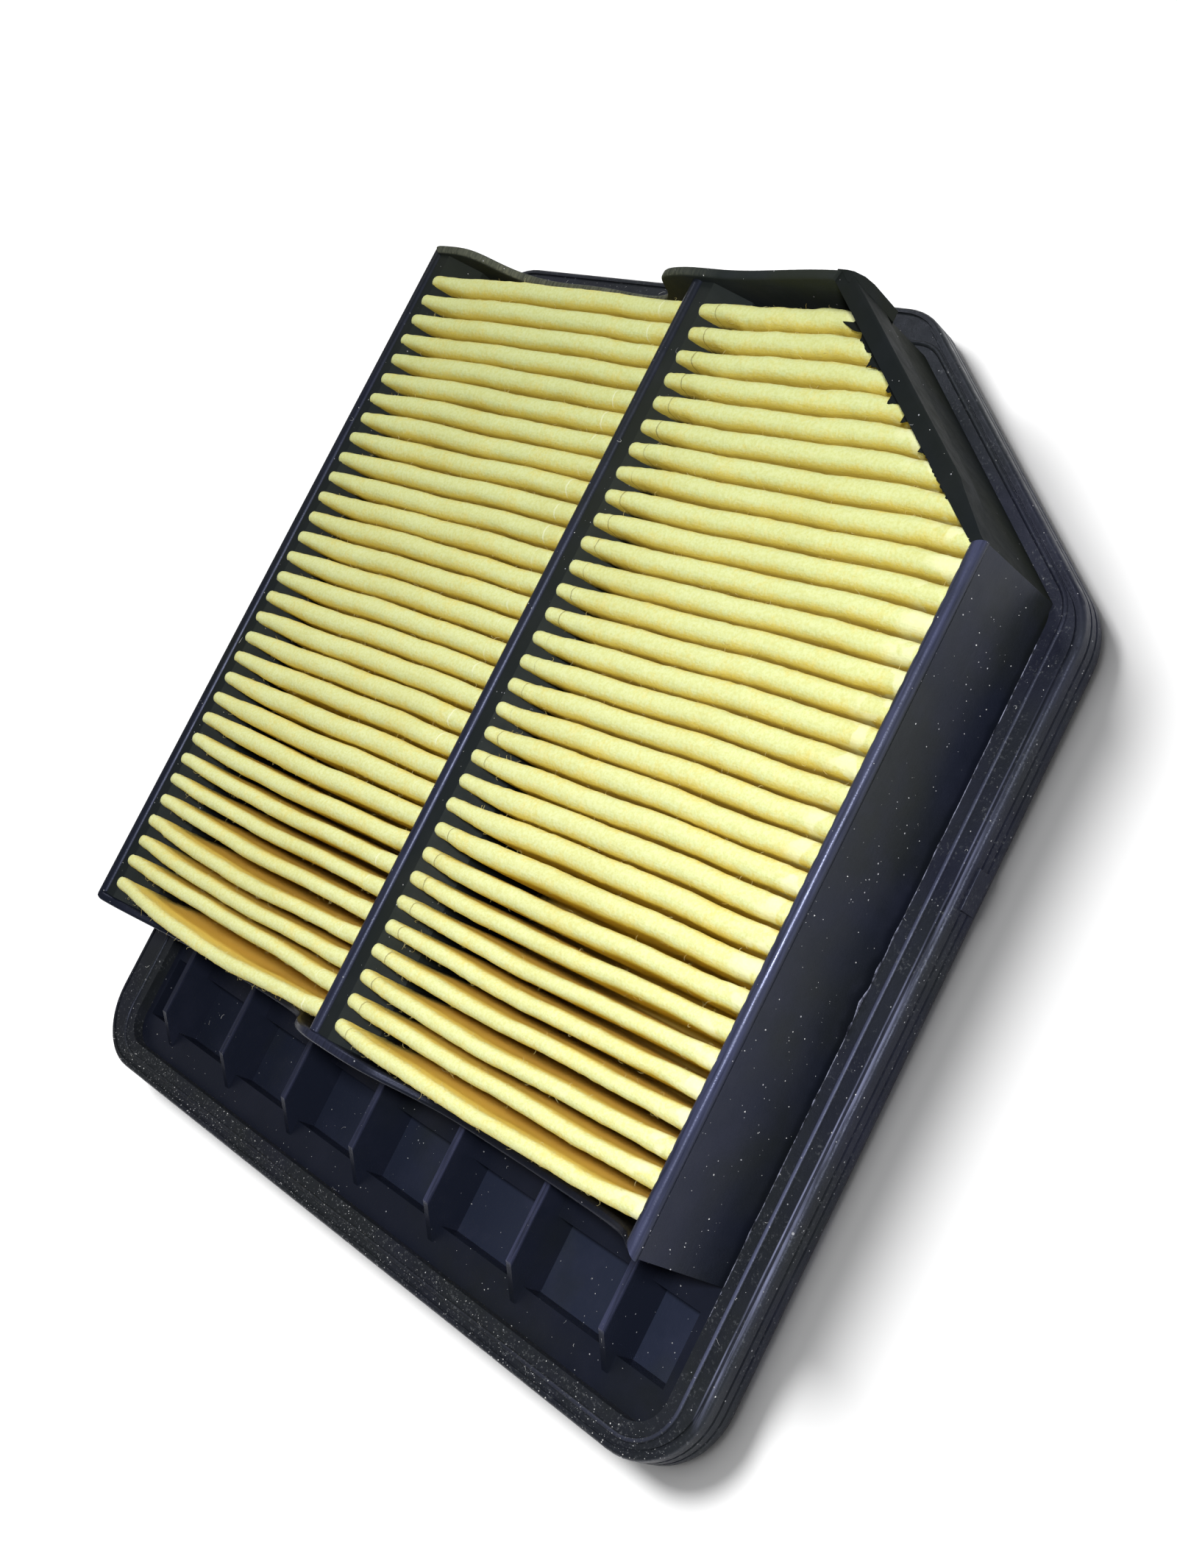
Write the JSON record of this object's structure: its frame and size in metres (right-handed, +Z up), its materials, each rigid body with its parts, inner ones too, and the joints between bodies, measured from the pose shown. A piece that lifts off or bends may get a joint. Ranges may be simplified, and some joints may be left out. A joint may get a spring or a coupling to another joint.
{
  "type": "panel air filter",
  "caption": "Pleated panel air filter: plastic frame with a clipped corner, two cells of folded yellow media, a finned tray along one side and a rubber rim seal.",
  "frame": {"origin": "centre of the rim seal's outline, on the plane that the seal's foot rests on", "axes": "+Z up through the frame, out of the open side where the pleat tips show; +Y across the pleats, from the finned tray towards the end with the clipped corner; +X towards the clipped corner's side"},
  "size_m": [0.2104, 0.222, 0.0399],
  "materials": {
    "frame_plastic": "moulded, low sheen, dusty",
    "filter_media": "felted nonwoven, soft pleat tips",
    "seal_rubber": "moulded soft rubber, chalky dust"
  },
  "bodies": {
    "root": {"wall_lower": "frame_plastic", "wall_right": "frame_plastic", "wall_clip": "frame_plastic", "wall_upper": "frame_plastic", "wall_left": "frame_plastic", "corner_lug": "frame_plastic", "center_rib": "frame_plastic", "comb_left": "frame_plastic", "comb_right": "frame_plastic", "media_left": "filter_media", "media_right": "filter_media", "flange_plate": "frame_plastic", "pocket_floor": "frame_plastic", "pocket_side_outer": "frame_plastic", "pocket_side_inner": "frame_plastic", "pocket_end_left": "frame_plastic", "pocket_end_right": "frame_plastic", "tray_fin_1": "frame_plastic", "tray_fin_2": "frame_plastic", "tray_fin_3": "frame_plastic", "tray_fin_4": "frame_plastic", "tray_fin_5": "frame_plastic", "tray_fin_6": "frame_plastic", "tray_fin_7": "frame_plastic", "seal_ring": "seal_rubber", "seal_tab": "seal_rubber", "clip_flash": "frame_plastic"}
  },
  "joints": []
}
